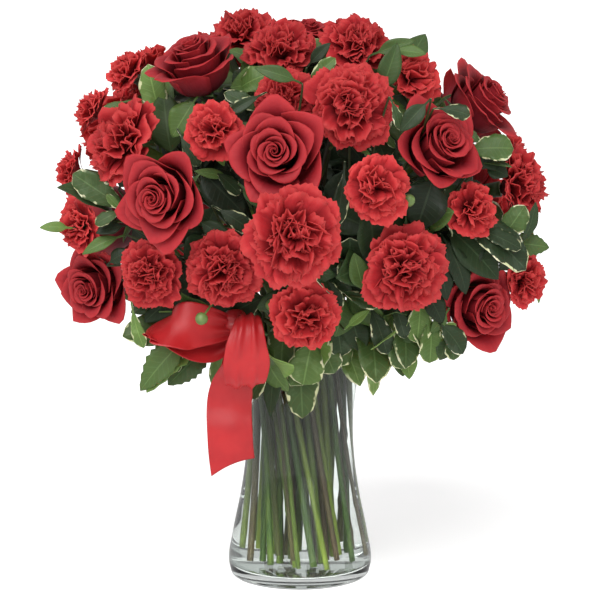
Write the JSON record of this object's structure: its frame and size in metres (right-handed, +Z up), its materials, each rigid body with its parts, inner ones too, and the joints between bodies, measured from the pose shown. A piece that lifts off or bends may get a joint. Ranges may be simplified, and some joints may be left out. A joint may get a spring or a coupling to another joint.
{
  "type": "flower arrangement",
  "caption": "Domed bouquet of red roses and red carnations with leafy greenery and a satin bow, standing in water in a waisted clear glass vase.",
  "frame": {"origin": "centre of the vase's foot, on the surface that it stands on", "axes": "+Z up along the vase's axis; -Y towards the front of the bouquet, where the bow is; +X to the right as seen from the front"},
  "size_m": [0.396, 0.4274, 0.4732],
  "materials": {
    "rose_petal": "velvety deep red petals",
    "carnation_petal": "matt crumpled red petals",
    "mini_carnation_petal": "matt crumpled red petals",
    "greenery": "waxy green stems and leaves, some edged with cream",
    "clear_glass": "clear, fire polished",
    "water": "clear water",
    "red_satin": "satin ribbon with a soft sheen",
    "pick_wood": "green stained wood"
  },
  "bodies": {
    "root": {"bow": "red_satin", "carnation_back": "carnation_petal", "carnation_back_high": "carnation_petal", "carnation_back_low": "carnation_petal", "carnation_back_right": "carnation_petal", "carnation_back_top": "carnation_petal", "carnation_front": "carnation_petal", "carnation_high_right": "carnation_petal", "carnation_left_front": "carnation_petal", "carnation_left_high": "carnation_petal", "carnation_left_low": "carnation_petal", "carnation_right": "carnation_petal", "carnation_right_front": "carnation_petal", "carnation_side_left": "carnation_petal", "carnation_top_front": "carnation_petal", "carnation_top_left": "carnation_petal", "carnation_top_right": "carnation_petal", "carnation_upper_front": "carnation_petal", "mini_back_high": "mini_carnation_petal", "mini_back_right": "mini_carnation_petal", "mini_far_left": "mini_carnation_petal", "mini_far_right": "mini_carnation_petal", "mini_front_low": "mini_carnation_petal", "mini_front_right": "mini_carnation_petal", "mini_high_right": "mini_carnation_petal", "mini_left": "mini_carnation_petal", "mini_left_high": "mini_carnation_petal", "mini_right_front": "mini_carnation_petal", "mini_right_low": "mini_carnation_petal", "mini_side_left": "mini_carnation_petal", "mini_top_left": "mini_carnation_petal", "mini_upper_left": "mini_carnation_petal", "pick": "pick_wood", "rose_back_left": "rose_petal", "rose_back_right": "rose_petal", "rose_back_top": "rose_petal", "rose_front": "rose_petal", "rose_left": "rose_petal", "rose_left_low": "rose_petal", "rose_right": "rose_petal", "rose_right_high": "rose_petal", "rose_right_low": "rose_petal", "rose_side_left": "rose_petal", "rose_side_right": "rose_petal", "rose_top": "rose_petal", "rose_top_left": "rose_petal", "stems_back": "greenery", "stems_back_left": "greenery", "stems_back_right": "greenery", "stems_front": "greenery", "stems_front_left": "greenery", "stems_front_right": "greenery", "stems_left": "greenery", "stems_right": "greenery", "stems_top_left": "greenery", "stems_top_right": "greenery", "vase": "clear_glass", "water": "water"}
  },
  "joints": []
}
